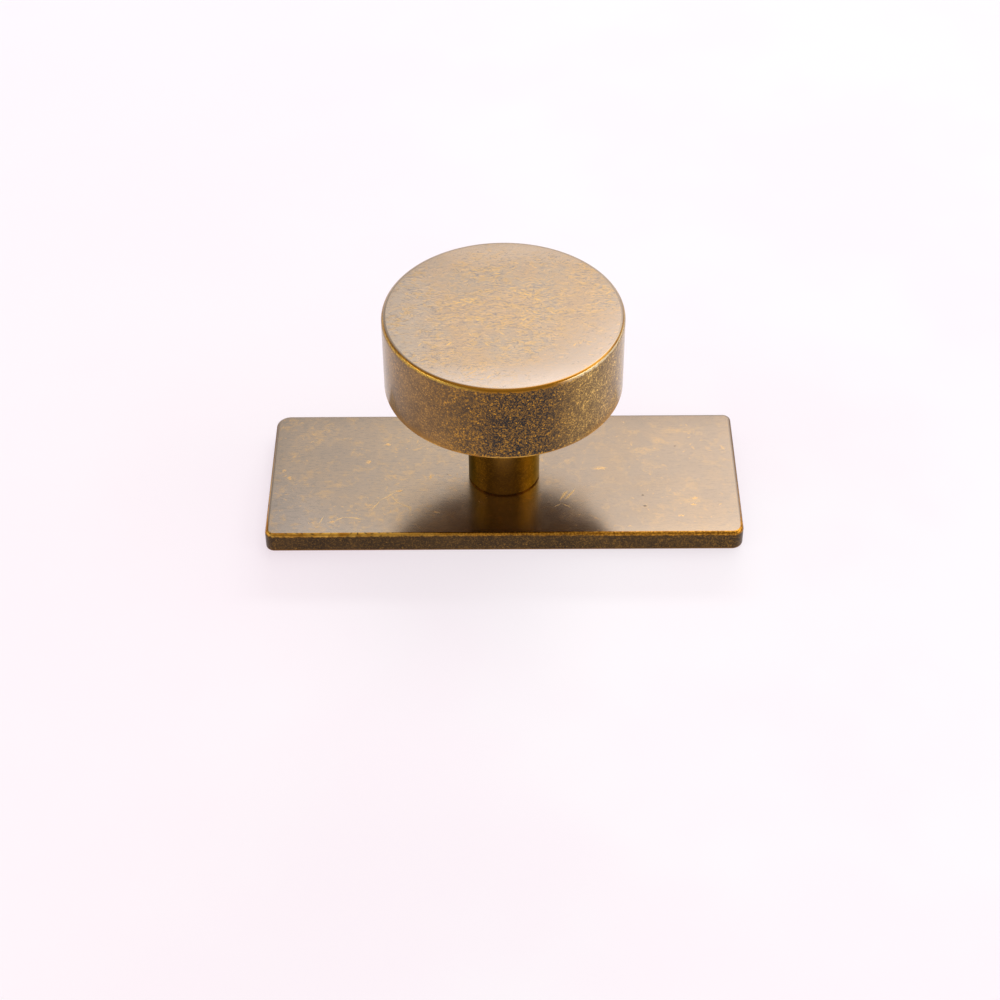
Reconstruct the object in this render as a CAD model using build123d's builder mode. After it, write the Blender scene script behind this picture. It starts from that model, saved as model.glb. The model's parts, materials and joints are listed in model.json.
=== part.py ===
"""Cabinet knob with a rectangular backplate, both of solid brass, in millimetres.

The origin is on the fixing screw's axis, in the plane of the plate's back, which lies on
the cabinet front. +Z points out through the plate and the knob. +X runs along the plate,
and -Y is its near side in the usual view from the front and above.
"""

import math
import os

from build123d import *

# The plate: a bar cut to length, with its corners eased by hand, so that no two are alike
plate_length = 65.0
plate_width = 25.0
plate_thickness = 3.0
far_left_corner_radius = 2.0
far_right_corner_radius = 1.1
near_left_corner_radius = 1.2
near_right_corner_radius = 1.6
plate_front_edge_radius = 0.5
plate_back_edge_radius = 0.25
plate_hole_chamfer = 0.3

# The knob: a head and a stem, turned in one piece from round bar
head_diameter = 32.0
head_thickness = 11.5
head_front_edge_radius = 0.6
head_back_edge_chamfer = 0.3
stem_diameter = 9.8
stem_length = 16.5
stem_root_radius = 0.6
stem_foot_chamfer = 0.25

# The fixing: a machine screw that comes from inside the cabinet, through the plate, into the stem
screw_diameter = 4.0
screw_pitch = 0.7
screw_clearance = 1.0
tapped_depth = 12.0
tapped_mouth_chamfer = 0.4
drill_point_angle = 118.0

# Heights above the cabinet front, and radii, that follow from the driving dimensions
stem_foot = plate_thickness
head_back = stem_foot + stem_length
tapped_end = stem_foot + tapped_depth
head_radius = head_diameter / 2
stem_radius = stem_diameter / 2
plate_hole_radius = (screw_diameter + screw_clearance) / 2
tapping_drill_radius = (screw_diameter - screw_pitch) / 2
tapped_mouth_radius = tapping_drill_radius + tapped_mouth_chamfer
drill_point_length = tapping_drill_radius / math.tan(math.radians(drill_point_angle / 2))

# The plate, with four corners of its own radii, eased faces, and the screw's clearance hole
with BuildPart() as backplate:
    with BuildSketch(Plane.XY) as outline:
        Rectangle(plate_length, plate_width)
        fillet(outline.vertices().group_by(Axis.Y)[-1].sort_by(Axis.X)[0], radius=far_left_corner_radius)
        fillet(outline.vertices().group_by(Axis.Y)[-1].sort_by(Axis.X)[-1], radius=far_right_corner_radius)
        fillet(outline.vertices().group_by(Axis.Y)[0].sort_by(Axis.X)[0], radius=near_left_corner_radius)
        fillet(outline.vertices().group_by(Axis.Y)[0].sort_by(Axis.X)[-1], radius=near_right_corner_radius)
    extrude(amount=plate_thickness)
    fillet(backplate.faces().sort_by(Axis.Z)[-1].edges(), radius=plate_front_edge_radius)
    fillet(backplate.faces().sort_by(Axis.Z)[0].edges(), radius=plate_back_edge_radius)
    with Locations((0, 0, plate_thickness)):
        Hole(radius=plate_hole_radius, depth=plate_thickness)
    hole_rims = backplate.edges().filter_by(GeomType.CIRCLE).filter_by(lambda edge: edge.is_closed)
    chamfer(hole_rims, length=plate_hole_chamfer)

# The knob, turned about the screw's axis, then drilled and tapped up the stem
with BuildPart() as knob:
    with BuildSketch(Plane.XZ) as section:
        with Locations((0, head_back)):
            Rectangle(head_radius, head_thickness, align=(Align.MIN, Align.MIN))
        with Locations((0, stem_foot)):
            Rectangle(stem_radius, stem_length, align=(Align.MIN, Align.MIN))
        fillet(section.vertices().group_by(Axis.X)[-1].sort_by(Axis.Y)[-1], radius=head_front_edge_radius)
        chamfer(section.vertices().group_by(Axis.X)[-1].sort_by(Axis.Y)[0], length=head_back_edge_chamfer)
        fillet(section.vertices().group_by(Axis.X)[1].sort_by(Axis.Y)[-1], radius=stem_root_radius)
        chamfer(section.vertices().group_by(Axis.X)[1].sort_by(Axis.Y)[0], length=stem_foot_chamfer)
    revolve(axis=Axis.Z)
    with BuildSketch(Plane.XZ):
        with BuildLine():
            Polyline(
                (0, stem_foot),
                (tapped_mouth_radius, stem_foot),
                (tapping_drill_radius, stem_foot + tapped_mouth_chamfer),
                (tapping_drill_radius, tapped_end),
                (0, tapped_end + drill_point_length),
                close=True,
            )
        make_face()
    revolve(axis=Axis.Z, mode=Mode.SUBTRACT)

os.makedirs("parts", exist_ok=True)

backplate.part.label = "backplate"
export_step(backplate.part, "parts/backplate.step")

knob.part.label = "knob"
export_step(knob.part, "parts/knob.step")
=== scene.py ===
"""Dresses the brass cabinet knob and its backplate, and sets the floor, the light and the camera."""

import json
import math

import bpy
from mathutils import Matrix, Vector


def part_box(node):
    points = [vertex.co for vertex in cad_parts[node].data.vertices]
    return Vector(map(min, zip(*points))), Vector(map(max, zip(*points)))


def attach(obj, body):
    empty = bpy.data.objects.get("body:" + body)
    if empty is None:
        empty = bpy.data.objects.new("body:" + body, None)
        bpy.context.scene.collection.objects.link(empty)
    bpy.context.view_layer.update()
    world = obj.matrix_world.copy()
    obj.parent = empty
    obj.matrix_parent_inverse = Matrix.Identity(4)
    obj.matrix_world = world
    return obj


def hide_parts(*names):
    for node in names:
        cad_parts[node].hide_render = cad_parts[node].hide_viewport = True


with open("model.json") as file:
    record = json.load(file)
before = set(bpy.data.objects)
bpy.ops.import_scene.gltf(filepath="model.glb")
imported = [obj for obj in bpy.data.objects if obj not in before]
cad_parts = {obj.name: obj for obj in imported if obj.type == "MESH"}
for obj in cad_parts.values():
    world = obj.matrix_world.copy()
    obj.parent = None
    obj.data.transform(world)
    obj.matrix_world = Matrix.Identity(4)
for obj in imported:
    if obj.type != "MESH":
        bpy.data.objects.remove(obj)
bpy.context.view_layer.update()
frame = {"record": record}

MM = 0.001

# Places taken from the frame, in metres
plate_low, plate_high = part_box("backplate")
knob_low, knob_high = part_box("knob")
mounts = {mount["name"]: mount for mount in frame["record"]["mounts"]}
bore_radius = mounts["fixing_thread"]["dims"]["r_mm"] * MM
hole_radius = mounts["plate_hole"]["dims"]["r_mm"] * MM
head_radius = knob_high.y

# The plate's corners: side in X, side in Y and radius in plan, counter-clockwise from the near right one
PLATE_CORNERS = ((1, -1, 1.6 * MM), (1, 1, 1.1 * MM), (-1, 1, 2.0 * MM), (-1, -1, 1.2 * MM))
PLATE_FRONT_EDGE = 0.5 * MM
PLATE_BACK_EDGE = 0.25 * MM
PLATE_HOLE_CHAMFER = 0.3 * MM

# The knob's turned section
HEAD_THICKNESS = 11.5 * MM
HEAD_FRONT_EDGE = 0.6 * MM
HEAD_BACK_CHAMFER = 0.3 * MM
STEM_RADIUS = 4.9 * MM
STEM_ROOT = 0.6 * MM
STEM_FOOT_CHAMFER = 0.25 * MM
TAPPED_DEPTH = 12.0 * MM
TAPPED_MOUTH = 0.4 * MM
DRILL_POINT = 118.0

# The screw's thread, and its profile in shares of the pitch: half a crest's flat, and a flank
THREAD_PITCH = 0.7 * MM
THREAD_DEPTH = 0.35 * MM
THREAD_RUN_OUT = 1.4 * MM
CREST_HALF = 0.125
FLANK = 0.3125

# How finely the meshes follow their forms
SOFT_CORNER = 0.06 * MM
FLAT_LEAD = 0.05 * MM
LONGEST_STEP = 1.0 * MM
SAME_PLACE = 1e-6
ARC_STEPS = 10
KNOB_COLUMNS = 192
THREAD_ROWS_PER_TURN = 10
FACE_INSETS = (1.0 * MM, 0.8 * MM, 0.65 * MM)
FACE_RINGS = 20
EDGE_ROWS = 4

# Distances along the knob's section from its middle: to the front rim, along its arc, and to the back rim
rim_start = head_radius - HEAD_FRONT_EDGE
rim_arc = HEAD_FRONT_EDGE * math.pi / 2
back_rim = rim_start + rim_arc + HEAD_THICKNESS - HEAD_FRONT_EDGE - HEAD_BACK_CHAMFER

# Distances down the plate's edge from its face: along the front arc, and to the back arc
edge_arc = PLATE_FRONT_EDGE * math.pi / 2
back_edge = edge_arc + plate_high.z - PLATE_FRONT_EDGE - PLATE_BACK_EDGE

# The regions of each piece, which are also its material slots
FACE, SIDE, BORE, BACK, STEM = range(5)

# Marks seen in the photograph: x, y, length and width in mm, and lean in degrees
FACE_RUBS = (
    (2.8, 4.1, 5.6, 1.8, -32), (2.7, -1.4, 1.7, 5.4, -8), (-5.0, 2.5, 4.5, 2.2, 20), (4.7, 10.1, 2.6, 0.7, 0),
)
FACE_NICKS = (
    (-7.0, -6.5, 1.2, 0.35, 48), (-3.3, -1.5, 0.5, 0.4, 0), (3.2, 3.9, 1.4, 0.3, -28),
    (4.5, 2.9, 1.2, 0.3, -25),
)
PLATE_FLECKS = (
    (-18.95, 2.4, 0.9, 0.9, 0), (-30.7, 0.6, 0.6, 0.9, 0), (-29.8, -0.9, 0.6, 0.9, 0),
    (-10.2, -0.9, 0.5, 1.5, -20), (-9.3, -8.0, 1.0, 0.45, -10), (-16.5, 6.0, 1.2, 0.6, 0),
    (-14.5, -3.7, 1.0, 0.5, 15), (-23.4, -9.9, 1.0, 0.6, 20), (13.4, 0.8, 1.9, 0.55, -3),
    (26.2, -5.5, 1.0, 0.5, 0), (26.0, -6.7, 1.3, 0.35, 0), (24.2, -8.9, 0.8, 0.5, 0),
)
PLATE_SMUDGES = (
    (25.0, 8.8, 6.0, 1.6, 0), (22.0, 6.5, 3.5, 1.4, -25), (19.5, 4.5, 4.5, 1.6, 10), (18.5, 8.5, 2.5, 1.0, 0),
    (13.4, 0.8, 3.0, 0.9, 0), (9.1, 2.4, 2.6, 0.8, 20), (25.8, -5.8, 5.0, 1.4, 0),
    (-25.0, 10.3, 2.6, 0.8, 40), (-24.9, -4.0, 3.6, 1.2, 8), (-29.6, -1.2, 1.6, 2.4, 20),
    (-29.5, 4.0, 2.0, 1.2, 0), (-15.9, -0.6, 2.2, 0.8, 0), (-12.0, 1.7, 1.8, 0.7, 30),
    (-11.1, -3.4, 1.4, 0.8, 30), (-28.6, -10.4, 1.6, 0.8, 0), (-31.2, -4.6, 1.0, 1.0, 0),
)
PLATE_SCRATCHES = (
    (-16.0, -4.7, 3.4, 0.16, 38), (-17.6, -6.5, 2.4, 0.16, 64), (-24.9, -9.5, 1.8, 0.18, 70),
    (-22.5, -9.3, 1.7, 0.16, 32), (-20.4, -9.2, 3.4, 0.16, -10), (8.2, -4.8, 2.6, 0.5, 62),
    (9.1, -4.6, 2.9, 0.45, 60), (7.3, -6.8, 1.6, 0.2, 35), (8.6, -6.8, 1.7, 0.2, -38),
)
PLATE_PITS = ((19.1, -4.8, 0.45, 0.3, 0), (19.3, -7.0, 0.6, 0.35, 0))

# How far apart the patterns of one seed and the next are, in cells
NOISE_SHIFT = (7.3, 3.1, 5.7)
DASH_SHIFT = (11.7, 5.3, 0.0)

# The colours of the head's face, in linear light as all those below. Its far, near and right beiges are
# partly painted sheen
BEIGE, TAN = (0.61, 0.47, 0.343), (0.665, 0.47, 0.305)
FAR_SHEEN_BEIGE, NEAR_SHEEN_BEIGE = (0.79, 0.60, 0.44), (0.75, 0.605, 0.495)
RIGHT_SHEEN_BEIGE, LEFT_GREY = (0.665, 0.52, 0.41), (0.67, 0.56, 0.46)
GILDING, STREAK_GREY = (0.80, 0.52, 0.24), (0.34, 0.305, 0.285)
GRAIN_GREY, DASH_GREY = (0.47, 0.40, 0.34), (0.32, 0.29, 0.275)
GLINT, SUNNY_GLINT, LEFT_GLINT = (0.90, 0.61, 0.34), (0.92, 0.59, 0.26), (0.86, 0.62, 0.39)
BRIGHT_GOLD = (1.0, 0.64, 0.25)

# The colours of the head's side, its rims and its back, with painted shade at the middle of the side, a
# painted sheen to its right, painted highlights on the front rim and a painted glow low on the side
SIDE_BROWN, SIDE_TAN = (0.140, 0.081, 0.035), (0.20, 0.115, 0.043)
FRONT_PAINTED_SHADE, RIGHT_PAINTED_SHEEN = (0.012, 0.016, 0.021), (0.15, 0.088, 0.034)
FLECK, LEFT_FLECK, RIGHT_SHEEN_FLECK = (0.93, 0.44, 0.032), (0.76, 0.415, 0.10), (1.0, 0.64, 0.17)
RIM_AMBER, RIM_NICK, RIM_BEIGE = (0.40, 0.165, 0.008), (0.13, 0.065, 0.012), (0.50, 0.39, 0.29)
LEFT_PAINTED_HIGHLIGHT, RIGHT_PAINTED_HIGHLIGHT = (0.66, 0.41, 0.07), (0.95, 0.80, 0.50)
LOW_PAINTED_GLOW, SIDE_TINT = (0.42, 0.20, 0.025), (1.0, 0.94, 0.82)
BACK_DARK, BACK_BROWN, BACK_FLECK = (0.065, 0.044, 0.028), (0.10, 0.062, 0.032), (0.40, 0.22, 0.05)

# The colours of bare brass: worn bare at an edge, and freshly cut in a hole
BARE_AMBER, BARE_GOLD, BARE_NICK = (0.42, 0.17, 0.012), (0.70, 0.38, 0.06), (0.10, 0.05, 0.015)
CUT_BRASS, CUT_GOLD = (0.62, 0.44, 0.18), (0.78, 0.57, 0.26)

# The colours of the stem, with painted shade at its left and a painted sheen up its middle
STEM_DARK, STEM_AMBER = (0.105, 0.048, 0.004), (0.18, 0.082, 0.003)
STEM_LEFT_PAINTED_SHADE, STEM_MIDDLE_PAINTED_SHEEN = (0.030, 0.018, 0.008), (0.24, 0.12, 0.03)
STEM_FLECK, STEM_TINT = (0.36, 0.18, 0.02), (0.8, 0.75, 0.5)

# The colours of the plate's face: its left end, then where each next tone starts and is full, in mm
PLATE_LEFT = (0.476, 0.365, 0.265)
PLATE_TONES = (
    (-22, -12, (0.515, 0.388, 0.269)), (-6, 6, (0.467, 0.349, 0.246)), (16, 26, (0.505, 0.377, 0.267)),
)
CORNER_GREY, CLOUD_GREY, PLATE_STREAK = (0.464, 0.381, 0.312), (0.38, 0.32, 0.27), (0.33, 0.285, 0.24)
PATCH_GOLD, PLATE_FLECK = (0.67, 0.445, 0.235), (0.86, 0.52, 0.21)
SCRATCH_GOLD, PIT_DARK = (0.98, 0.62, 0.24), (0.08, 0.06, 0.05)

# The colours of the plate's edge and of its back
EDGE_DARK, EDGE_BROWN, EDGE_FLECK = (0.042, 0.025, 0.011), (0.066, 0.038, 0.014), (0.35, 0.18, 0.033)
WORN_BROWN, WORN_GOLD = (0.28, 0.105, 0.005), (0.70, 0.32, 0.03)
EDGE_BEIGE, LOW_AMBER = (0.42, 0.33, 0.25), (0.24, 0.11, 0.02)
GROUND_BRASS, GROUND_GOLD = (0.25, 0.165, 0.08), (0.35, 0.24, 0.12)
GROUND_LINE, GROUND_STAIN = (0.14, 0.09, 0.042), (0.10, 0.07, 0.042)

# Where the middle of the head's visible side is around the head, in degrees. The painted shade on the side is
# darkest there
SIDE_MIDDLE = 8

# The floor, in metres: how far it reaches, its gap under the plate, and where it fades into the horizon
FLOOR_REACH = 1.5
FLOOR_GAP = 0.02 * MM
FLOOR_FADE = (0.3, 1.1)

# How far the seen floor is lifted towards its own colour at full light
FLOOR_LIFT = 0.7
FLOOR_COLORS = (1.0, 0.88, 0.95), (1.0, 0.92, 0.97)
FLOOR_LEFT_PAINTED_SHADE = (0.99, 0.85, 0.92)
FLOOR_MATT = (0.97, 1.0, 1.0)

# The studio's dome. The floor takes on the horizon's colour far from the object
HORIZON = (1.0, 0.96, 1.0)
DOME = (0.45, 0.43, 0.43)
ZENITH = (0.75, 0.72, 0.71)

# The dome's soft boxes: a faint one at the back left, a wide one at the back right, a strip on each side.
# In degrees, both ends in turn and how soft each is, and the same in rise; then the light
SOFT_BOXES = (
    (-70, 0, 25, 15, 32, 62, 12, 8, (0.48, 0.47, 0.47)),
    (0, 75, 27, 15, 41, 70, 23, 6, (3.1, 3.05, 3.02)),
    (76, 122, 6, 8, 28, 40, 3, 3, (4.5, 4.4, 4.3)),
    (-122, -76, 8, 6, 28, 38, 3, 3, (3.5, 3.45, 3.4)),
)

# The lamp behind the object: length, height and distance in metres, energy in watts, direction in degrees
BACK_LIGHT_LENGTH = 0.8
BACK_LIGHT_HEIGHT = 0.06
BACK_LIGHT_DISTANCE = 1.0
BACK_LIGHT_ENERGY = 7.0
BACK_LIGHT_TURN = 8
BACK_LIGHT_RISE = 17

# Camera, from the photograph's own perspective
SENSOR_WIDTH = 36.0
LENS = 76.77
ELEVATION = 42.54
AZIMUTH = -0.17
ROLL = 0.41
DISTANCE = 299.5 * MM
AIM = Vector((-0.59, -1.09, -1.19)) * MM


# Outlines

def rounded(corners):
    """Turns an open polyline of (x, y, radius) corners into points, with an arc at each corner with a radius.

    A point just before and just after each arc keeps the shading of the flats beside it flat.
    """
    points = []
    for index, (x, y, radius) in enumerate(corners):
        corner = Vector((x, y))
        if radius == 0.0:
            points.append(corner)
            continue
        before = (Vector(corners[index - 1][:2]) - corner).normalized()
        after = (Vector(corners[index + 1][:2]) - corner).normalized()
        half = before.angle(after) / 2
        reach = radius / math.tan(half)
        middle = corner + (before + after).normalized() * radius / math.sin(half)
        first = corner + before * reach - middle
        last = corner + after * reach - middle
        turn = math.atan2(first.x * last.y - first.y * last.x, first.dot(last))
        points.append(corner + before * (reach + FLAT_LEAD))
        for step in range(ARC_STEPS + 1):
            angle = turn * step / ARC_STEPS
            cos, sin = math.cos(angle), math.sin(angle)
            points.append(middle + Vector((first.x * cos - first.y * sin, first.x * sin + first.y * cos)))
        points.append(corner + after * (reach + FLAT_LEAD))
    return points


def divided(points):
    """Adds points to a polyline, so that none of its steps is longer than the longest step."""
    result = [points[0]]
    for start, end in zip(points, points[1:]):
        pieces = max(1, math.ceil((end - start).length / LONGEST_STEP))
        result += [start.lerp(end, piece / pieces) for piece in range(1, pieces + 1)]
    return result


def lengths_along(points):
    """The distance along a polyline at each of its points."""
    total = [0.0]
    for start, end in zip(points, points[1:]):
        total.append(total[-1] + (end - start).length)
    return total


# Meshes

def new_object(name, data):
    """A new object of some data, in the scene."""
    made = bpy.data.objects.new(name, data)
    bpy.context.collection.objects.link(made)
    return made


def new_piece(name, vertices, faces, uvs, slots, materials):
    """A smooth mesh object with its surface map, in metres, and a material for each of its regions."""
    mesh = bpy.data.meshes.new(name)
    mesh.from_pydata(vertices, [], faces)
    layer = mesh.uv_layers.new(name="surface")
    layer.data.foreach_set("uv", [value for face in uvs for corner in face for value in corner])
    for material in materials:
        mesh.materials.append(material)
    mesh.polygons.foreach_set("material_index", slots)
    mesh.shade_smooth()
    mesh.validate()
    return new_object(name, mesh)


def thread_tooth(turns):
    """How deep a metric thread's groove is along its pitch, from 0 at the crest to 1 at the root."""
    place = turns % 1.0
    distance = min(place, 1.0 - place)
    return min(1.0, max(0.0, (distance - CREST_HALF) / FLANK))


def knob_section():
    """The knob's half section as (radius, height) points, from its face's middle to the drill's point."""
    face, foot = knob_high.z, knob_low.z
    back = face - HEAD_THICKNESS
    tapped_end = foot + TAPPED_DEPTH
    tip = tapped_end + bore_radius / math.tan(math.radians(DRILL_POINT / 2))
    outside = rounded((
        (0, face, 0),
        (head_radius, face, HEAD_FRONT_EDGE),
        (head_radius, back + HEAD_BACK_CHAMFER, SOFT_CORNER),
        (head_radius - HEAD_BACK_CHAMFER, back, SOFT_CORNER),
        (STEM_RADIUS, back, STEM_ROOT),
        (STEM_RADIUS, foot + STEM_FOOT_CHAMFER, SOFT_CORNER),
        (STEM_RADIUS - STEM_FOOT_CHAMFER, foot, SOFT_CORNER),
        (bore_radius + TAPPED_MOUTH, foot, SOFT_CORNER),
        (bore_radius, foot + TAPPED_MOUTH, 0),
    ))
    rows = round((TAPPED_DEPTH - TAPPED_MOUTH) / THREAD_PITCH * THREAD_ROWS_PER_TURN)
    bore = [Vector((bore_radius, foot + TAPPED_MOUTH + (TAPPED_DEPTH - TAPPED_MOUTH) * row / rows))
            for row in range(1, rows + 1)]
    return divided(outside) + bore + [Vector((bore_radius / 2, (tapped_end + tip) / 2)), Vector((0, tip))]


def knob_region(start, end):
    """Which part of the knob a step of its section belongs to, and whether that part lies flat."""
    face, foot = knob_high.z, knob_low.z
    back = face - HEAD_THICKNESS
    level = abs(end.y - start.y) < SAME_PLACE
    inner, outer = min(start.x, end.x), max(start.x, end.x)
    if level and start.y > face - SAME_PLACE:
        return FACE, True
    if outer < bore_radius + TAPPED_MOUTH + SOFT_CORNER * 2:
        return BORE, False
    if level and abs(start.y - back) < SAME_PLACE and inner > STEM_RADIUS + STEM_ROOT - SAME_PLACE:
        return BACK, True
    if inner > STEM_RADIUS + STEM_ROOT:
        return SIDE, False
    return STEM, level and start.y < foot + SAME_PLACE


def skin_radius(point, column):
    """The radius of the knob's skin at a point of its section. The hole's wall has the thread cut into it."""
    if point.x != bore_radius:
        return point.x
    turns = (point.y - knob_low.z) / THREAD_PITCH - column / KNOB_COLUMNS
    left = knob_low.z + TAPPED_DEPTH - point.y
    return point.x + THREAD_DEPTH * thread_tooth(turns) * min(1.0, left / THREAD_RUN_OUT)


def column_angle(column):
    """The angle of a column of the knob, from half a turn before the near side to half a turn after it."""
    return 2 * math.pi * column / KNOB_COLUMNS - math.pi


def on_circle(radius, column):
    angle = column_angle(column)
    return radius * math.sin(angle), -radius * math.cos(angle)


def make_knob(materials):
    """The knob as one revolved skin, with a real helical thread up its stem."""
    section = knob_section()
    along = lengths_along(section)
    vertices, rings = [], []
    for point in section:
        columns = 1 if point.x == 0.0 else KNOB_COLUMNS
        rings.append(range(len(vertices), len(vertices) + columns))
        vertices += [(*on_circle(skin_radius(point, column), column), point.y) for column in range(columns)]
    faces, uvs, slots = [], [], []
    for row, (inner, outer) in enumerate(zip(rings, rings[1:])):
        region, flat = knob_region(section[row], section[row + 1])
        reach = max(section[row].x, section[row + 1].x)
        for column in range(KNOB_COLUMNS):
            corners = [(row, column), (row + 1, column), (row + 1, column + 1), (row, column + 1)]
            if len(inner) == 1:
                corners.pop()
            elif len(outer) == 1:
                corners.pop(2)
            faces.append([rings[at][turn % len(rings[at])] for at, turn in corners])
            if flat:
                uvs.append([on_circle(section[at].x, turn) for at, turn in corners])
            else:
                uvs.append([(column_angle(turn) * reach, -along[at]) for at, turn in corners])
            slots.append(region)
    return new_piece("turned_knob", vertices, faces, uvs, slots, materials)


def plate_outline():
    """The plate's plan as (place, outward normal) pairs, counter-clockwise from its near right corner."""
    outline = []
    for side_x, side_y, radius in PLATE_CORNERS:
        middle = Vector((side_x * (plate_high.x - radius), side_y * (plate_high.y - radius)))
        start = math.pi / 2 * math.floor(math.atan2(side_y, side_x) / (math.pi / 2))
        for step in range(ARC_STEPS + 1):
            angle = start + math.pi / 2 * step / ARC_STEPS
            normal = Vector((math.cos(angle), math.sin(angle)))
            outline.append((middle + normal * radius, normal))
    full = []
    for (start, normal), (end, _) in zip(outline, outline[1:] + outline[:1]):
        pieces = max(1, math.ceil((end - start).length / LONGEST_STEP))
        full += [(start.lerp(end, piece / pieces), normal) for piece in range(pieces)]
    return full


def plate_section():
    """The plate's edge as (inset, height, region) steps, from its face round to its back."""
    top, bottom = plate_high.z, plate_low.z
    steps = [(inset, top, FACE) for inset in (*FACE_INSETS, PLATE_FRONT_EDGE + FLAT_LEAD)]
    quarter = [math.pi / 2 * step / ARC_STEPS for step in range(ARC_STEPS + 1)]
    for angle in quarter:
        inset = PLATE_FRONT_EDGE * (1 - math.sin(angle))
        steps.append((inset, top - PLATE_FRONT_EDGE * (1 - math.cos(angle)), SIDE))
    upper, lower = top - PLATE_FRONT_EDGE - FLAT_LEAD, bottom + PLATE_BACK_EDGE + FLAT_LEAD
    steps += [(0.0, upper + (lower - upper) * step / EDGE_ROWS, SIDE) for step in range(EDGE_ROWS + 1)]
    for angle in quarter:
        inset = PLATE_BACK_EDGE * (1 - math.cos(angle))
        steps.append((inset, bottom + PLATE_BACK_EDGE * (1 - math.sin(angle)), SIDE))
    return steps + [(PLATE_BACK_EDGE + FLAT_LEAD, bottom, BACK), (FACE_INSETS[0], bottom, BACK)]


def hole_ring(outline, radius, height, region):
    """A ring around the plate's hole, with a point towards each point of the outline."""
    return [place.normalized() * radius for place, _ in outline], height, region


def flat_rings(outline, height, region, shares):
    """Rings across the face or the back, from the hole's rim, at share 0, to the innermost inset, at 1."""
    rim = hole_radius + PLATE_HOLE_CHAMFER
    spans = [(place.normalized() * rim, place - normal * FACE_INSETS[0]) for place, normal in outline]
    return [([start.lerp(end, share) for start, end in spans], height, region) for share in shares]


def plate_rings(outline):
    """The plate's rings as (places, height, region): from its hole over its face, its edge and its back.

    Each region is that of the strip from its ring to the next. The last strip ends at the first ring.
    """
    top, bottom = plate_high.z, plate_low.z
    rim = hole_radius + PLATE_HOLE_CHAMFER
    shares = [step / FACE_RINGS for step in range(1, FACE_RINGS)]
    return [
        hole_ring(outline, hole_radius, (top + bottom) / 2, BORE),
        hole_ring(outline, hole_radius, top - PLATE_HOLE_CHAMFER - FLAT_LEAD, BORE),
        hole_ring(outline, hole_radius, top - PLATE_HOLE_CHAMFER, BORE),
        hole_ring(outline, rim, top, FACE),
        hole_ring(outline, rim + FLAT_LEAD, top, FACE),
        *flat_rings(outline, top, FACE, shares),
        *(([place - normal * inset for place, normal in outline], height, region)
          for inset, height, region in plate_section()),
        *flat_rings(outline, bottom, BACK, reversed(shares)),
        hole_ring(outline, rim + FLAT_LEAD, bottom, BACK),
        hole_ring(outline, rim, bottom, BORE),
        hole_ring(outline, hole_radius, bottom + PLATE_HOLE_CHAMFER, BORE),
        hole_ring(outline, hole_radius, bottom + PLATE_HOLE_CHAMFER + FLAT_LEAD, BORE),
    ]


def make_plate(materials):
    """The plate as one closed skin of rings."""
    outline = plate_outline()
    rings, levels, regions = zip(*plate_rings(outline))
    count = len(outline)
    around = lengths_along([place for place, _ in outline] + [outline[0][0]])
    down = lengths_along([Vector((*ring[0], level)) for ring, level in zip(rings, levels)])
    down = [distance - down[regions.index(SIDE)] for distance in down]
    vertices = [(*place, level) for ring, level in zip(rings, levels) for place in ring]
    faces, uvs, slots = [], [], []
    for row, region in enumerate(regions):
        below = (row + 1) % len(rings)
        for column in range(count):
            after = (column + 1) % count
            corners = ((row, column), (below, column), (below, after), (row, after))
            faces.append([ring * count + place for ring, place in corners])
            if region in (FACE, BACK):
                uvs.append([rings[ring][place] for ring, place in corners])
            else:
                end = down[below] if below else down[row] + MM
                uvs.append([(around[column], -down[row]), (around[column], -end),
                            (around[column + 1], -end), (around[column + 1], -down[row])])
            slots.append(region)
    return new_piece("eased_backplate", vertices, faces, uvs, slots, materials)


# Shading

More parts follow.
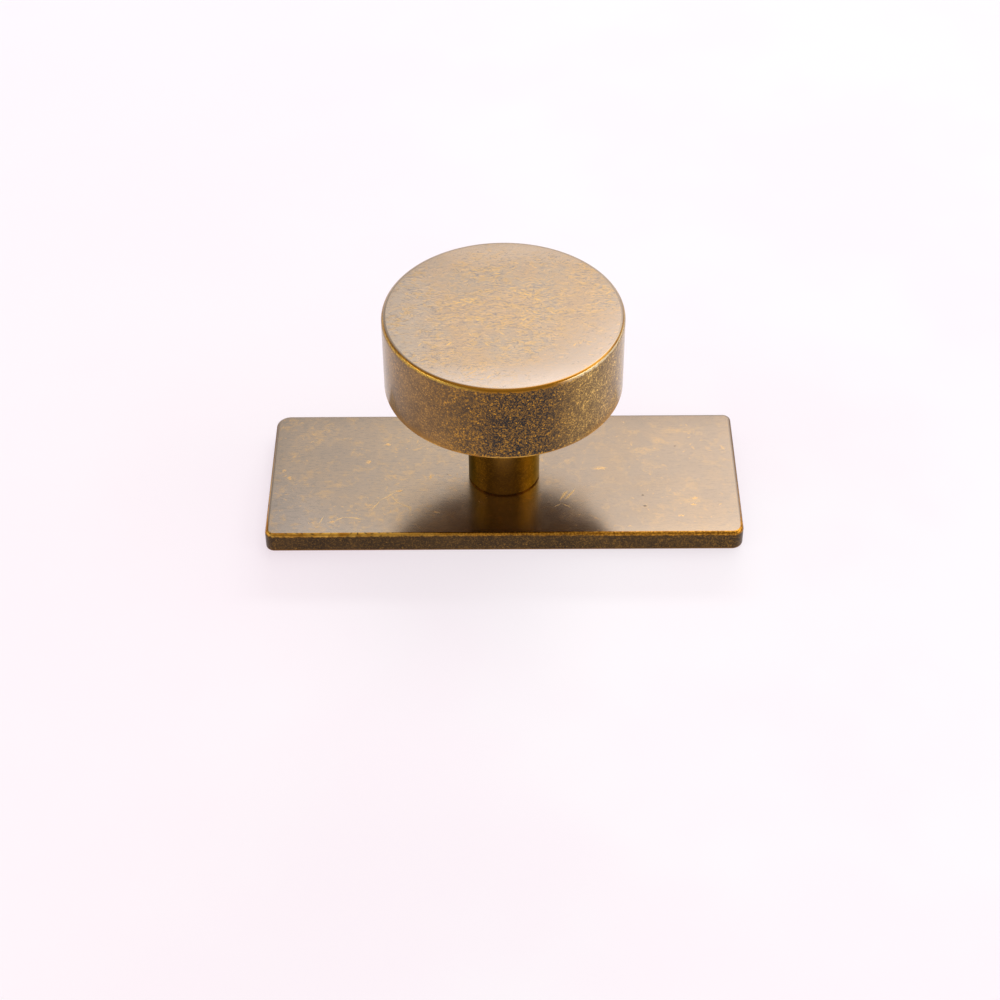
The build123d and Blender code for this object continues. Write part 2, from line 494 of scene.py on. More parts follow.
class Tree:
    """A node tree under construction. Any input may be a number, a tuple or another node's output."""

    def __init__(self, tree):
        self.tree = tree
        tree.nodes.clear()

    def add(self, kind, inputs=None, output=0, **settings):
        """Adds a node, fills its inputs by name or by index, and gives one of its outputs."""
        node = self.tree.nodes.new("ShaderNode" + kind)
        for name, value in settings.items():
            setattr(node, name, value)
        for name, value in (inputs or {}).items():
            socket = node.inputs[name]
            if isinstance(value, bpy.types.NodeSocket):
                self.tree.links.new(value, socket)
            elif socket.type == "RGBA":
                socket.default_value = (*value, 1.0)
            else:
                socket.default_value = value
        return node.outputs[output] if node.outputs else None

    def math(self, operation, first, second=0.0, clamp=False):
        return self.add("Math", {0: first, 1: second}, operation=operation, use_clamp=clamp)

    def plus(self, first, second):
        return self.math("ADD", first, second)

    def minus(self, first, second):
        return self.math("SUBTRACT", first, second)

    def times(self, first, second, clamp=False):
        return self.math("MULTIPLY", first, second, clamp)

    def most(self, first, second):
        return self.math("MAXIMUM", first, second)

    def vector(self, operation, first, second):
        return self.add("VectorMath", {0: first, 1: second}, operation=operation)

    def scaled(self, vector, amount):
        return self.add("VectorMath", {0: vector, "Scale": amount}, operation="SCALE")

    def length(self, vector):
        return self.add("VectorMath", {0: vector}, output=1, operation="LENGTH")

    def toward(self, vector, direction):
        """How far a vector reaches in a direction."""
        return self.add("VectorMath", {0: vector, 1: direction}, output=1, operation="DOT_PRODUCT")

    def axes(self, vector):
        """A vector's x, y and z."""
        return self.add("SeparateXYZ", {0: vector}).node.outputs[:]

    def step(self, value, low, high, bottom=0.0, top=1.0):
        """Rises smoothly from bottom to top as the value goes from low to high."""
        inputs = {"Value": value, "From Min": low, "From Max": high, "To Min": bottom, "To Max": top}
        return self.add("MapRange", inputs, interpolation_type="SMOOTHSTEP")

    def span(self, value, bottom, top):
        """Rises smoothly from bottom to top as the value goes from 0 to 1."""
        return self.step(value, 0.0, 1.0, bottom, top)

    def degrees(self, angle, low, high, bottom=0.0, top=1.0):
        """The same as step for an angle, with its low and high ends in degrees."""
        return self.step(angle, math.radians(low), math.radians(high), bottom, top)

    def blend(self, factor, first, second):
        """Goes from the first colour to the second."""
        return self.add("Mix", {0: factor, 6: first, 7: second}, output=2, data_type="RGBA")

    def noise(self, place, size, detail=2.0, roughness=0.5, seed=0.0):
        """Soft noise, near 0.5, with features of about a size in metres."""
        moved = self.vector("ADD", self.scaled(place, 1 / size), [seed * shift for shift in NOISE_SHIFT])
        return self.add("TexNoise", {"Vector": moved, "Scale": 1.0, "Detail": detail, "Roughness": roughness})


def new_material(name):
    """A new material, its node tree, and the place on its surface map in metres."""
    material = bpy.data.materials.new(name)
    material.use_nodes = True
    tree = Tree(material.node_tree)
    return material, tree, tree.add("UVMap", uv_map="surface")


def in_object(tree):
    """The x, y and z of a place in the object, in metres."""
    return tree.axes(tree.add("TexCoord", output=3))


def finish_material(tree, color, roughness, height, relief, coat, tint=(1.0, 1.0, 1.0), coat_ior=1.5):
    """Ends a brass material: colour, roughness and relief, in metres, on a metal with a thin clear film.

    The tint is the colour that the metal takes where it is seen edge on.
    """
    bump = tree.add("Bump", {"Height": height, "Distance": relief, "Strength": 1.0})
    shader = tree.add("BsdfPrincipled", {
        "Base Color": color,
        "Metallic": 1.0,
        "Roughness": roughness,
        "Coat Weight": coat,
        "Coat Roughness": 0.15,
        "Coat IOR": coat_ior,
        "Specular Tint": tint,
        "Normal": bump,
    })
    tree.add("OutputMaterial", {"Surface": shader})


# Patterns

def cloudy(tree, place, size, seed, spread=0.15):
    """Clouds of about a size, from 0 to 1, which take up a spread of the noise on each side of its middle."""
    return tree.step(tree.noise(place, size, 4.0, 0.6, seed), 0.5 - spread, 0.5 + spread)


def drawn_out(tree, place, squeeze, size, roughness, seed, detail=3.0):
    """Noise with its features drawn out along X, because X is squeezed first."""
    return tree.noise(tree.vector("MULTIPLY", place, (squeeze, 1.0, 1.0)), size, detail, roughness, seed)


def warped(tree, place, size, amount):
    """The same place, pushed about smoothly by up to an amount, so that straight marks come out bent."""
    inputs = {"Vector": tree.scaled(place, 1 / size), "Scale": 1.0, "Detail": 1.0}
    push = tree.vector("SUBTRACT", tree.add("TexNoise", inputs, output=1), (0.5, 0.5, 0.5))
    return tree.vector("ADD", place, tree.scaled(push, 2 * amount))


def mark(tree, away, angle, length, width, rim, core):
    """A soft mark, from 0 beyond its rim to 1 within its core, both in shares of half its size."""
    turned = tree.add("VectorRotate", {"Vector": away, "Angle": angle}, rotation_type="Z_AXIS")
    shaped = tree.vector("MULTIPLY", turned, (2 / length, 2 / width, 0.0))
    return tree.step(tree.length(shaped), rim, core)


def dashes(tree, place, cell, length, width, share, seed, lean=2 * math.pi):
    """Short soft dashes at random places, at most one to a cell, from 0 off them to 1. Sizes are in metres.

    The share of cells with a dash may be a socket. The lean is the spread of their angles, in radians.
    """
    moved = tree.vector("ADD", tree.scaled(place, 1 / cell), [seed * shift for shift in DASH_SHIFT])
    cells = tree.add("TexVoronoi", {"Vector": moved, "Scale": 1.0}, voronoi_dimensions="2D").node
    away = tree.vector("SUBTRACT", moved, cells.outputs["Position"])
    turn, chance, level = tree.add("SeparateColor", {0: cells.outputs["Color"]}).node.outputs[:]
    dash = mark(tree, away, tree.times(tree.minus(turn, 0.5), lean), length / cell, width / cell, 1.1, 0.2)
    strength = tree.add("Math", {0: level, 1: 0.6, 2: 0.4}, operation="MULTIPLY_ADD")
    return tree.times(tree.times(dash, strength), tree.math("LESS_THAN", chance, share))


def strokes(tree, place, marks):
    """Listed marks, from 0 off them to 1: x, y, length and width in mm, and lean in degrees."""
    total = 0.0
    for x, y, length, width, lean in marks:
        away = tree.vector("SUBTRACT", place, (x * MM, y * MM, 0.0))
        total = tree.most(mark(tree, away, math.radians(-lean), length * MM, width * MM, 1.15, 0.3), total)
    return total


def worms(tree, place, size, seed):
    """Short wriggling lines, broken up at random, from 0 off them to 1."""
    ridge = tree.math("ABSOLUTE", tree.minus(tree.noise(place, size, 2.0, 0.6, seed), 0.5))
    broken = tree.step(tree.noise(place, size * 0.5, 1.0, 0.5, seed + 50), 0.46, 0.56)
    return tree.times(tree.step(ridge, 0.07, 0.02), broken)


def flecked_patina(tree, place, seed, base, gold, share, size=0.36 * MM):
    """A patina crowded with worms, dots and fine grains of gold. Gives its colour and where the gold is."""
    dense = tree.step(tree.noise(place, 2.2 * MM, 4.0, 0.7, seed), 0.34, 0.64, 0.45, 1.0)
    dense = tree.times(dense, share)
    wavy = warped(tree, place, 0.9 * MM, 0.2 * MM)
    dash = dashes(tree, wavy, size, size * 1.3, size * 0.46, dense, seed + 1)
    fine = dashes(tree, wavy, size * 0.6, size * 0.9, size * 0.36, dense, seed + 2)
    dots = tree.times(tree.most(dash, tree.times(fine, 0.75)), 0.6)
    thread = tree.times(worms(tree, wavy, size * 1.6, seed + 3), tree.times(dense, 1.4), clamp=True)
    grain = tree.step(tree.noise(place, size * 0.5, 3.0, 0.75, seed + 4), 0.50, 0.62)
    where = tree.most(tree.most(dots, thread), tree.times(grain, tree.times(dense, 0.6)))
    bright = tree.step(tree.noise(place, 0.5 * MM, 3.0, 0.7, seed + 5), 0.38, 0.62, 0.55, 1.0)
    glints = dashes(tree, wavy, size * 1.7, size * 1.1, size * 0.7, tree.times(dense, 0.4), seed + 6)
    where = tree.most(tree.times(where, bright), glints)
    return tree.blend(where, base, gold), where


def flecked_relief(tree, place, size, seed, gold, lift):
    """The relief of a flecked patina: slightly uneven, with its gold lifted a little."""
    return tree.plus(tree.noise(place, size, 3.0, 0.6, seed), tree.times(gold, lift))


def down_the_section(tree, place):
    """How far a place is along a revolved or swept section, in metres."""
    return tree.times(tree.axes(place)[1], -1.0)


def until(tree, down, end, soft):
    """1 down a section until a soft width before an end, and 0 from the end on."""
    return tree.math("DIVIDE", tree.minus(end, down), soft, clamp=True)


def ragged_line(tree, place, size, amount, seed):
    """How far a worn edge's line strays from a straight one, in metres."""
    return tree.times(tree.minus(tree.noise(place, size, 3.0, 0.7, seed), 0.5), amount)


def bare_brass(tree, place, seed):
    """Brass worn bare along an edge: gold running into amber, with dark nicks."""
    runs = tree.step(tree.noise(place, 2.5 * MM, 3.0, 0.6, seed), 0.38, 0.62)
    nicks = dashes(tree, place, 0.6 * MM, 0.7 * MM, 0.3 * MM, 0.45, seed + 1)
    return tree.blend(nicks, tree.blend(runs, BARE_AMBER, BARE_GOLD), BARE_NICK)


# The knob's materials

def face_tone(tree, place, clouds, inner, near, far):
    """The face's colour: a beige patina, paler at its far, near and right sides partly as painted sheen, and
    greyer at its left.
    """
    color = tree.blend(clouds, BEIGE, TAN)
    # The paler far, near and right sides are partly painted sheen
    color = tree.blend(far, color, FAR_SHEEN_BEIGE)
    color = tree.blend(inner, RIGHT_SHEEN_BEIGE, color)
    color = tree.blend(near, color, NEAR_SHEEN_BEIGE)
    left = tree.step(tree.axes(place)[0], -6 * MM, -15 * MM, 0.0, 0.6)
    return tree.blend(left, color, LEFT_GREY)


def face_glint(tree, place):
    """The colour of bare metal on the face: more golden in patches, and paler at its left."""
    sunny = tree.step(tree.noise(place, 3 * MM, 3.0, 0.6, 10), 0.42, 0.60)
    left = tree.step(tree.axes(place)[0], -4 * MM, -12 * MM)
    return tree.blend(left, tree.blend(sunny, GLINT, SUNNY_GLINT), LEFT_GLINT)


def face_streaks(tree, place, wavy, busy, color, glint):
    """Adds gold mottling, level streaks of grey and bare metal, and fine grain. Also gives the streaks."""
    mottling = tree.step(drawn_out(tree, wavy, 0.6, 0.65 * MM, 0.6, 11), 0.46, 0.62)
    color = tree.blend(tree.times(mottling, tree.times(busy, 0.75)), color, GILDING)
    streaks = drawn_out(tree, wavy, 0.36, 0.34 * MM, 0.68, 3)
    grey, bare = tree.step(streaks, 0.475, 0.35), tree.step(streaks, 0.525, 0.655)
    color = tree.blend(tree.times(grey, tree.times(busy, 0.62)), color, STREAK_GREY)
    color = tree.blend(tree.times(bare, tree.times(busy, 0.5)), color, glint)
    grain = tree.step(drawn_out(tree, place, 0.4, 0.12 * MM, 0.7, 4), 0.45, 0.62)
    return tree.blend(tree.times(grain, 0.14), color, GRAIN_GREY), streaks


def face_marks(tree, place, wavy, busy, color, glint):
    """Adds short dashes of bare metal and of grey, and the rubs and nicks of the photograph."""
    dash = dashes(tree, wavy, 0.6 * MM, 1.25 * MM, 0.28 * MM, tree.times(busy, 0.55), 5, 1.2)
    color = tree.blend(tree.times(dash, 0.6), color, glint)
    dark = dashes(tree, wavy, 0.4 * MM, 0.5 * MM, 0.16 * MM, tree.times(busy, 0.5), 6, 2.4)
    color = tree.blend(tree.times(dark, 0.7), color, DASH_GREY)
    rubbed = strokes(tree, warped(tree, place, 1.5 * MM, 0.6 * MM), FACE_RUBS)
    bright = dashes(tree, wavy, 0.6 * MM, 1.0 * MM, 0.3 * MM, tree.times(rubbed, 0.8), 9, 1.6)
    bright = tree.most(bright, dashes(tree, place, 2.2 * MM, 1.1 * MM, 0.3 * MM, 0.12, 7, 2.2))
    bright = tree.most(bright, strokes(tree, place, FACE_NICKS))
    return tree.blend(bright, color, BRIGHT_GOLD)


def knob_face_material():
    """The burnished face: short level streaks of bare metal and of grey, in drifts, on a beige patina."""
    material, tree, place = new_material("burnished_face")
    y = tree.axes(place)[1]
    near = tree.step(y, -0.6 * head_radius, -0.95 * head_radius)
    far = tree.step(y, 0.55 * head_radius, 0.95 * head_radius)
    right = tree.toward(place, (0.75, -0.66, 0.0))
    inner = tree.step(right, head_radius * 0.9, head_radius * 0.4, 0.2, 1.0)
    inner = tree.times(inner, tree.minus(1.0, tree.times(near, 0.6)))
    drifts = tree.step(tree.noise(place, 4.5 * MM, 4.0, 0.65, 2), 0.40, 0.60)
    busy = tree.times(tree.span(drifts, 0.4, 1.0), inner)
    busy = tree.times(busy, tree.minus(1.0, tree.times(far, 0.8)))
    clouds = cloudy(tree, place, 6 * MM, 1, 0.12)
    wavy = warped(tree, place, 2.0 * MM, 0.65 * MM)
    color, glint = face_tone(tree, place, clouds, inner, near, far), face_glint(tree, place)
    color, streaks = face_streaks(tree, place, wavy, busy, color, glint)
    color = face_marks(tree, place, wavy, busy, color, glint)
    crown = tree.times(tree.math("POWER", tree.math("DIVIDE", tree.length(place), head_radius), 8.0), -3.0)
    height = tree.plus(tree.noise(place, 5 * MM, 2.0, 0.5, 8), tree.times(streaks, 0.08))
    finish_material(tree, color, tree.span(clouds, 0.20, 0.24), tree.plus(height, crown), 0.03 * MM, 0.3)
    return material


def side_patina(tree, place, angle, off_middle, seen):
    """The side's flecked patina, with painted shade darkest at the middle of the side that shows, and a
    painted golden sheen to its right.
    """
    clouds = cloudy(tree, place, 4 * MM, 21)
    # A painted golden sheen on the right of the side that shows, with more flecks there
    painted_right_sheen = tree.times(tree.degrees(angle, 18, 46), seen)
    base = tree.blend(clouds, SIDE_BROWN, SIDE_TAN)
    # Painted shade: near black at the middle of the side that shows
    base = tree.blend(tree.degrees(off_middle, 48, 5), base, FRONT_PAINTED_SHADE)
    base = tree.blend(painted_right_sheen, base, RIGHT_PAINTED_SHEEN)
    fleck = tree.blend(tree.degrees(angle, -15, -50), FLECK, LEFT_FLECK)
    fleck = tree.blend(painted_right_sheen, fleck, RIGHT_SHEEN_FLECK)
    share = tree.plus(0.48, tree.times(painted_right_sheen, 0.38))
    return flecked_patina(tree, place, 22, base, fleck, share, 0.30 * MM)


def rim_brass(tree, place, down, ragged, angle, off_middle, near):
    """The front rim worn bare: amber, with a painted highlight line off the middle, and dark nicks at its
    left.
    """
    # A painted highlight line along the lower part of the rim, away from its middle
    painted_highlight = tree.plus(down, tree.times(ragged, 0.2))
    painted_highlight = tree.step(painted_highlight, rim_start + rim_arc * 0.46, rim_start + rim_arc * 0.58)
    painted_highlight = tree.times(painted_highlight, tree.degrees(off_middle, 14, 34, 0.0, 0.9))
    painted_highlight = tree.times(painted_highlight, tree.degrees(off_middle, 105, 75))
    nicks = tree.step(tree.noise(place, 0.32 * MM, 2.0, 0.6, 34), 0.56, 0.66)
    nicks = tree.times(nicks, tree.degrees(angle, -25, -45, 0.0, 0.8))
    color = tree.blend(near, bare_brass(tree, place, 31), RIM_AMBER)
    color = tree.blend(painted_highlight, color, tree.blend(tree.degrees(angle, -5, 5), LEFT_PAINTED_HIGHLIGHT, RIGHT_PAINTED_HIGHLIGHT))
    return tree.blend(nicks, color, RIM_NICK)


def knob_side_material():
    """The head's side: a dark patina thick with fine gold flecks, with painted shade, sheen, highlights and
    glow, and its eased edges worn to bare metal.
    """
    material, tree, place = new_material("flecked_side")
    x, y, _ = in_object(tree)
    angle = tree.math("ARCTAN2", x, tree.times(y, -1.0))
    off_middle = tree.math("ABSOLUTE", tree.minus(angle, math.radians(SIDE_MIDDLE)))
    seen = tree.degrees(off_middle, 135, 95)
    near = tree.step(y, 0.2 * head_radius, -0.95 * head_radius)
    down = down_the_section(tree, place)
    ragged = ragged_line(tree, place, 0.5 * MM, 0.7 * MM, 30)
    color, gold = side_patina(tree, place, angle, off_middle, seen)

    worn_end = tree.plus(rim_start + rim_arc * 0.72, tree.times(near, rim_arc * 0.2))
    worn = until(tree, tree.plus(down, ragged), worn_end, rim_arc * 0.3)
    worn = tree.times(worn, tree.step(y, 0.5 * head_radius, -0.4 * head_radius, 0.2, 1.0))
    color = tree.blend(worn, color, rim_brass(tree, place, down, ragged, angle, off_middle, near))
    face_end = tree.minus(rim_start + rim_arc * 0.45, tree.times(near, rim_arc * 0.25))
    color = tree.blend(until(tree, down, face_end, rim_arc * 0.12), color, RIM_BEIGE)

    # A painted amber glow low on the side that shows, away from its middle
    painted_glow = tree.step(tree.plus(down, ragged), back_rim - 1.3 * MM, back_rim - 0.1 * MM)
    painted_glow = tree.times(tree.times(painted_glow, tree.degrees(off_middle, 22, 50, 0.0, 0.75)), seen)
    color = tree.blend(painted_glow, color, LOW_PAINTED_GLOW)
    low_worn = tree.step(tree.plus(down, tree.times(ragged, 0.5)), back_rim - 0.25 * MM, back_rim)
    color = tree.blend(low_worn, color, bare_brass(tree, place, 33))

    height = flecked_relief(tree, place, 1.2 * MM, 27, gold, 0.3)
    roughness = tree.span(worn, 0.38, 0.26)
    finish_material(tree, color, roughness, height, 0.008 * MM, 0.8, SIDE_TINT, coat_ior=1.23)
    return material


def head_back_material():
    """The head's back, never burnished: the same dark patina with few flecks."""
    material, tree, place = new_material("dark_back")
    base = tree.blend(cloudy(tree, place, 4 * MM, 35), BACK_DARK, BACK_BROWN)
    color, gold = flecked_patina(tree, place, 36, base, BACK_FLECK, 0.35)
    finish_material(tree, color, 0.38, flecked_relief(tree, place, 1.2 * MM, 39, gold, 0.3), 0.008 * MM, 0.15)
    return material


def stem_material():
    """The stem: plain amber brass, with painted shade at its left and a paler, browner painted sheen up its
    middle.
    """
    material, tree, place = new_material("amber_stem")
    x = in_object(tree)[0]
    left = tree.step(x, 0.0, -0.6 * STEM_RADIUS)
    middle = tree.step(tree.math("ABSOLUTE", x), 0.55 * STEM_RADIUS, 0.1 * STEM_RADIUS, 0.0, 0.5)
    base = tree.blend(cloudy(tree, place, 2 * MM, 41, 0.2), STEM_DARK, STEM_AMBER)
    # Painted shade at the left, and a painted sheen up the middle
    base = tree.blend(tree.times(left, 0.45), base, STEM_LEFT_PAINTED_SHADE)
    base = tree.blend(middle, base, STEM_MIDDLE_PAINTED_SHEEN)
    color, gold = flecked_patina(tree, place, 42, base, STEM_FLECK, 0.45)
    height = flecked_relief(tree, place, 1.0 * MM, 46, gold, 0.2)
    finish_material(tree, color, 0.3, height, 0.006 * MM, 0.0, STEM_TINT)
    return material


def bore_material():
    """Freshly cut brass inside the holes of both pieces, with the drill's fine rings."""
    material, tree, place = new_material("cut_brass")
    rings = drawn_out(tree, place, 0.1, 0.2 * MM, 0.6, 61, 2.0)
    color = tree.blend(tree.step(rings, 0.3, 0.7), CUT_BRASS, CUT_GOLD)
    finish_material(tree, color, 0.3, rings, 0.004 * MM, 0.0)
    return material


# The plate's materials

def plate_tone(tree, place, clouds):
    """The plate's patina: a beige that drifts along it, greyer at its near left corner and in clouds."""
    x = tree.axes(place)[0]
    color = PLATE_LEFT
    for start, end, tone in PLATE_TONES:
        color = tree.blend(tree.step(x, start * MM, end * MM), color, tone)
    corner = tree.toward(place, (-0.7, -0.7, 0.0))
    color = tree.blend(tree.step(corner, 18 * MM, 27 * MM), color, CORNER_GREY)
    return tree.blend(tree.step(clouds, 1.0, 0.0, 0.0, 0.3), color, CLOUD_GREY)


def plate_patches(tree, place, right, torn):
    """Golden patches, fewer to the right, and the smudges of the photograph."""
    patches = tree.step(tree.noise(place, 1.6 * MM, 4.0, 0.65, 82), 0.5, 0.7)
    patches = tree.times(patches, tree.minus(0.6, tree.times(right, 0.3)))
    smudges = strokes(tree, warped(tree, place, 1.2 * MM, 0.7 * MM), PLATE_SMUDGES)
    return tree.most(patches, tree.times(smudges, tree.times(torn, 0.55)))


def plate_flecks(tree, place, right, torn):
    """Gold flecks in drifts, fewer to the right, and those of the photograph."""
    drifts = tree.step(tree.noise(place, 6 * MM, 3.0, 0.6, 84), 0.45, 0.62)
    drifts = tree.times(drifts, tree.minus(1.0, tree.times(right, 0.65)))
    wavy = warped(tree, place, 1.2 * MM, 0.45 * MM)
    large = dashes(tree, wavy, 2.0 * MM, 1.3 * MM, 0.55 * MM, tree.times(drifts, 0.45), 85, 2.4)
    small = dashes(tree, wavy, 0.8 * MM, 0.7 * MM, 0.26 * MM, tree.times(drifts, 0.5), 89, 2.4)
    known = strokes(tree, warped(tree, place, 0.5 * MM, 0.4 * MM), PLATE_FLECKS)
    return tree.most(tree.most(tree.times(large, 0.4), tree.times(small, 0.45)), tree.times(known, torn))


def plate_scratches(tree, place, torn):
    """A few long curved scratches, and those of the photograph."""
    stray = dashes(tree, warped(tree, place, 5 * MM, 2.5 * MM), 9 * MM, 7 * MM, 0.25 * MM, 0.2, 86)
    known = strokes(tree, warped(tree, place, 1.5 * MM, 0.2 * MM), PLATE_SCRATCHES)
    return tree.times(tree.most(stray, known), tree.most(torn, 0.75))


def plate_crown(tree, place):
    """How the plate's face falls away towards its edges."""
    x, y, _ = tree.axes(tree.vector("ABSOLUTE", place, (0.0, 0.0, 0.0)))
    ends = tree.math("POWER", tree.math("DIVIDE", x, plate_high.x), 20.0)
    sides = tree.math("POWER", tree.math("DIVIDE", y, plate_high.y), 8.0)
    return tree.times(tree.plus(ends, sides), -2.0)


def plate_face_material():
    """The plate's face: a cloudy grey-beige patina with a few gold flecks, curved scratches and tiny pits."""
    material, tree, place = new_material("cloudy_plate")
    clouds = tree.step(tree.noise(place, 5 * MM, 5.0, 0.6, 81), 0.36, 0.64)
    right = tree.step(tree.axes(place)[0], -2 * MM, 16 * MM)
    torn = tree.step(tree.noise(place, 0.35 * MM, 3.0, 0.7, 90), 0.36, 0.56, 0.3, 1.0)
    color = tree.blend(plate_patches(tree, place, right, torn), plate_tone(tree, place, clouds), PATCH_GOLD)
    grain = drawn_out(tree, place, 0.3, 0.3 * MM, 0.65, 83)
    streaky = tree.minus(0.45, tree.times(right, 0.22))
    color = tree.blend(tree.times(tree.step(grain, 0.50, 0.38), streaky), color, PLATE_STREAK)
    flecks = plate_flecks(tree, place, right, torn)
    color = tree.blend(flecks, color, PLATE_FLECK)
    scratches = plate_scratches(tree, place, torn)
    color = tree.blend(tree.times(scratches, 0.9), color, SCRATCH_GOLD)
    stray_pits = dashes(tree, place, 6 * MM, 0.4 * MM, 0.25 * MM, 0.1, 87)
    pits = tree.most(strokes(tree, place, PLATE_PITS), stray_pits)
    color = tree.blend(tree.times(pits, 0.8), color, PIT_DARK)
    height = tree.plus(tree.noise(place, 7 * MM, 2.0, 0.5, 88), tree.times(grain, 0.05))
    height = tree.plus(height, plate_crown(tree, place))
    roughness = tree.plus(tree.span(clouds, 0.19, 0.23), tree.times(tree.most(flecks, scratches), 0.12))
    finish_material(tree, color, roughness, height, 0.03 * MM, 0.3)
    return material


def edge_brass(tree, place, x):
    """The plate's front edge worn bare: gold and amber at its left, gritty brown and gold to its right."""
    grit = tree.step(tree.noise(place, 0.25 * MM, 3.0, 0.75, 109), 0.42, 0.62)
    brown = tree.blend(grit, WORN_BROWN, WORN_GOLD)
    return tree.blend(tree.step(x, -20 * MM, 0.0), bare_brass(tree, place, 107), brown)


def plate_side_material():
    """The plate's edge: a dark flecked patina under a front edge worn to bare metal."""
    material, tree, place = new_material("flecked_edge")
    x, y, _ = in_object(tree)
    down = down_the_section(tree, place)
    base = tree.blend(cloudy(tree, place, 3 * MM, 101), EDGE_DARK, EDGE_BROWN)
    share = tree.step(x, 0.0, 0.9 * plate_high.x, 0.36, 0.62)
    color, gold = flecked_patina(tree, place, 102, base, EDGE_FLECK, share, 0.3 * MM)

    ragged = ragged_line(tree, place, 0.6 * MM, 0.6 * MM, 106)
    near = tree.step(y, -0.6 * plate_high.y, -0.95 * plate_high.y)
    off_middle = tree.math("ABSOLUTE", tree.plus(x, 2 * MM))
    wide = tree.times(near, tree.step(off_middle, 8 * MM, 22 * MM, 0.3, 1.0))
    worn_end = tree.plus(edge_arc * 0.78, tree.times(wide, edge_arc * 0.2))
    worn = until(tree, tree.plus(down, ragged), worn_end, edge_arc * 0.3)
    worn = tree.times(worn, tree.step(y, 0.7 * plate_high.y, -0.9 * plate_high.y, 0.25, 1.0))
    color = tree.blend(worn, color, edge_brass(tree, place, x))
    face_end = tree.minus(edge_arc * 0.42, tree.times(near, edge_arc * 0.34))
    color = tree.blend(until(tree, down, face_end, edge_arc * 0.12), color, EDGE_BEIGE)
    low_worn = tree.step(tree.plus(down, tree.times(ragged, 0.3)), back_edge - 0.1 * MM, back_edge)
    color = tree.blend(low_worn, color, LOW_AMBER)

    height = flecked_relief(tree, place, 1.0 * MM, 105, gold, 0.3)
    finish_material(tree, color, tree.span(worn, 0.40, 0.28), height, 0.008 * MM, 0.15)
    return material


def plate_back_material():
    """The plate's back, which lies on the cabinet: dull brass with the lines of its grinding, and stains."""
    material, tree, place = new_material("ground_back")
    lines = drawn_out(tree, place, 0.03, 0.14 * MM, 0.7, 122)
    stains = tree.step(tree.noise(place, 3 * MM, 4.0, 0.65, 123), 0.54, 0.70, 0.0, 0.55)
    color = tree.blend(cloudy(tree, place, 6 * MM, 121), GROUND_BRASS, GROUND_GOLD)
    color = tree.blend(tree.step(lines, 0.62, 0.38, 0.0, 0.6), color, GROUND_LINE)
    color = tree.blend(stains, color, GROUND_STAIN)
    finish_material(tree, color, tree.step(stains, 0.0, 0.55, 0.36, 0.46), lines, 0.006 * MM, 0.1)
    return material


# The studio

def floor_material():
    """A matt pale floor, lifted towards white for the camera and mirrors. It keeps the object's shadow, and
    has a painted pinkish shade over its left side.
    """
    material, tree, _ = new_material("pale_floor")
    place = tree.add("TexCoord", output=3)
    color = tree.blend(tree.step(tree.noise(place, 0.05, 3.0, 0.6), 0.38, 0.62), *FLOOR_COLORS)
    # A painted pinkish shade over the floor's left side
    color = tree.blend(tree.step(tree.axes(place)[0], 0.02, -0.05, 0.0, 0.7), color, FLOOR_LEFT_PAINTED_SHADE)
    away = tree.step(tree.length(place), *FLOOR_FADE)
    color = tree.blend(away, color, HORIZON)
    matt = tree.add("BsdfDiffuse", {"Color": FLOOR_MATT})
    light = tree.add("Emission", {"Color": color, "Strength": 1.0})
    path = tree.add("LightPath").node
    seen = tree.most(path.outputs["Is Camera Ray"], path.outputs["Is Glossy Ray"])
    seen = tree.most(seen, path.outputs["Is Transmission Ray"])
    lifted = tree.add("MixShader", {0: tree.times(seen, tree.most(FLOOR_LIFT, away)), 1: matt, 2: light})
    tree.add("OutputMaterial", {"Surface": lifted})
    return material


def place_floor():
    """A wide pale floor, just under the plate's back face."""
    level = plate_low.z - FLOOR_GAP
    corners = [(x * FLOOR_REACH, y * FLOOR_REACH, level) for x, y in ((-1, -1), (1, -1), (1, 1), (-1, 1))]
    mesh = bpy.data.meshes.new("floor")
    mesh.from_pydata(corners, [], [(0, 1, 2, 3)])
    mesh.materials.append(floor_material())
    floor = new_object("floor", mesh)


def between(tree, angle, low, high, soft_low, soft_high):
    """1 between two angles, in degrees, with a soft end around each."""
    after = tree.degrees(angle, low - soft_low, low + soft_low)
    before = tree.degrees(angle, high + soft_high, high - soft_high)
    return tree.times(after, before)


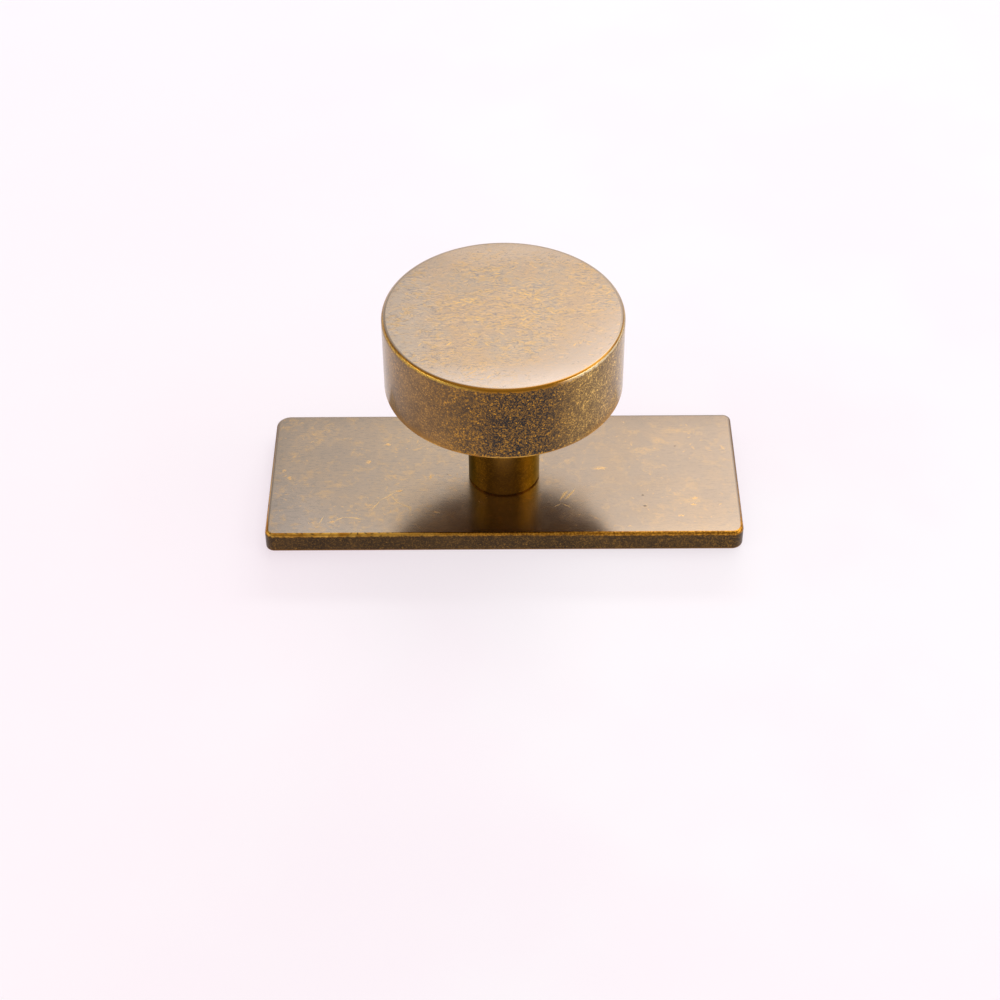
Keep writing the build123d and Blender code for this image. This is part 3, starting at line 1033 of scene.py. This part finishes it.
def light_world():
    """A studio dome, white at the horizon and paler straight overhead than around, with soft boxes."""
    world = bpy.data.worlds.new("studio")
    world.use_nodes = True
    bpy.context.scene.world = world
    tree = Tree(world.node_tree)
    x, y, z = tree.axes(tree.add("TexCoord", output=0))
    turn, rise = tree.math("ARCTAN2", x, y), tree.math("ARCSINE", z)
    color = tree.blend(tree.degrees(rise, 62, 78), DOME, ZENITH)
    color = tree.blend(tree.degrees(rise, 24, 10), color, HORIZON)
    for left, right, soft_left, soft_right, bottom, top, soft_bottom, soft_top, light in SOFT_BOXES:
        box = tree.times(between(tree, turn, left, right, soft_left, soft_right),
                         between(tree, rise, bottom, top, soft_bottom, soft_top))
        color = tree.blend(box, color, light)
    tree.add("OutputWorld", {"Surface": tree.add("Background", {"Color": color, "Strength": 1.0})})


def direction(turn, rise):
    """The direction at a turn from +Y towards +X and a rise above level, in degrees."""
    turn, rise = math.radians(turn), math.radians(rise)
    return Vector((math.sin(turn) * math.cos(rise), math.cos(turn) * math.cos(rise), math.sin(rise)))


def place_back_light():
    """A long low lamp behind the object. It draws the plate's soft shadow on the floor, and no highlight."""
    data = bpy.data.lights.new("back_light", "AREA")
    data.shape = "RECTANGLE"
    data.size, data.size_y = BACK_LIGHT_LENGTH, BACK_LIGHT_HEIGHT
    data.energy = BACK_LIGHT_ENERGY
    light = new_object("back_light", data)
    toward = direction(BACK_LIGHT_TURN, BACK_LIGHT_RISE)
    light.location = toward * BACK_LIGHT_DISTANCE
    light.rotation_euler = toward.to_track_quat("Z", "Y").to_euler()
    light.visible_glossy = False


def place_camera():
    """Looks along +Y and down at the plate, with a very small turn to the left and roll."""
    data = bpy.data.cameras.new("camera")
    data.sensor_width = SENSOR_WIDTH
    data.lens = LENS
    data.clip_start = 0.01
    data.clip_end = 50.0
    camera = new_object("camera", data)
    forward = direction(AZIMUTH, -ELEVATION)
    turn = forward.to_track_quat("-Z", "Y")
    roll = Matrix.Rotation(math.radians(ROLL), 4, forward)
    camera.matrix_world = Matrix.Translation(AIM - forward * DISTANCE) @ roll @ turn.to_matrix().to_4x4()
    bpy.context.scene.camera = camera


scene = bpy.context.scene
scene.view_settings.view_transform = "Standard"

cut_brass = bore_material()
knob = make_knob([
    knob_face_material(), knob_side_material(), cut_brass, head_back_material(), stem_material(),
])
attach(knob, "root")
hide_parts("knob")
plate = make_plate([plate_face_material(), plate_side_material(), cut_brass, plate_back_material()])
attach(plate, "root")
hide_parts("backplate")

place_floor()
light_world()
place_back_light()
place_camera()
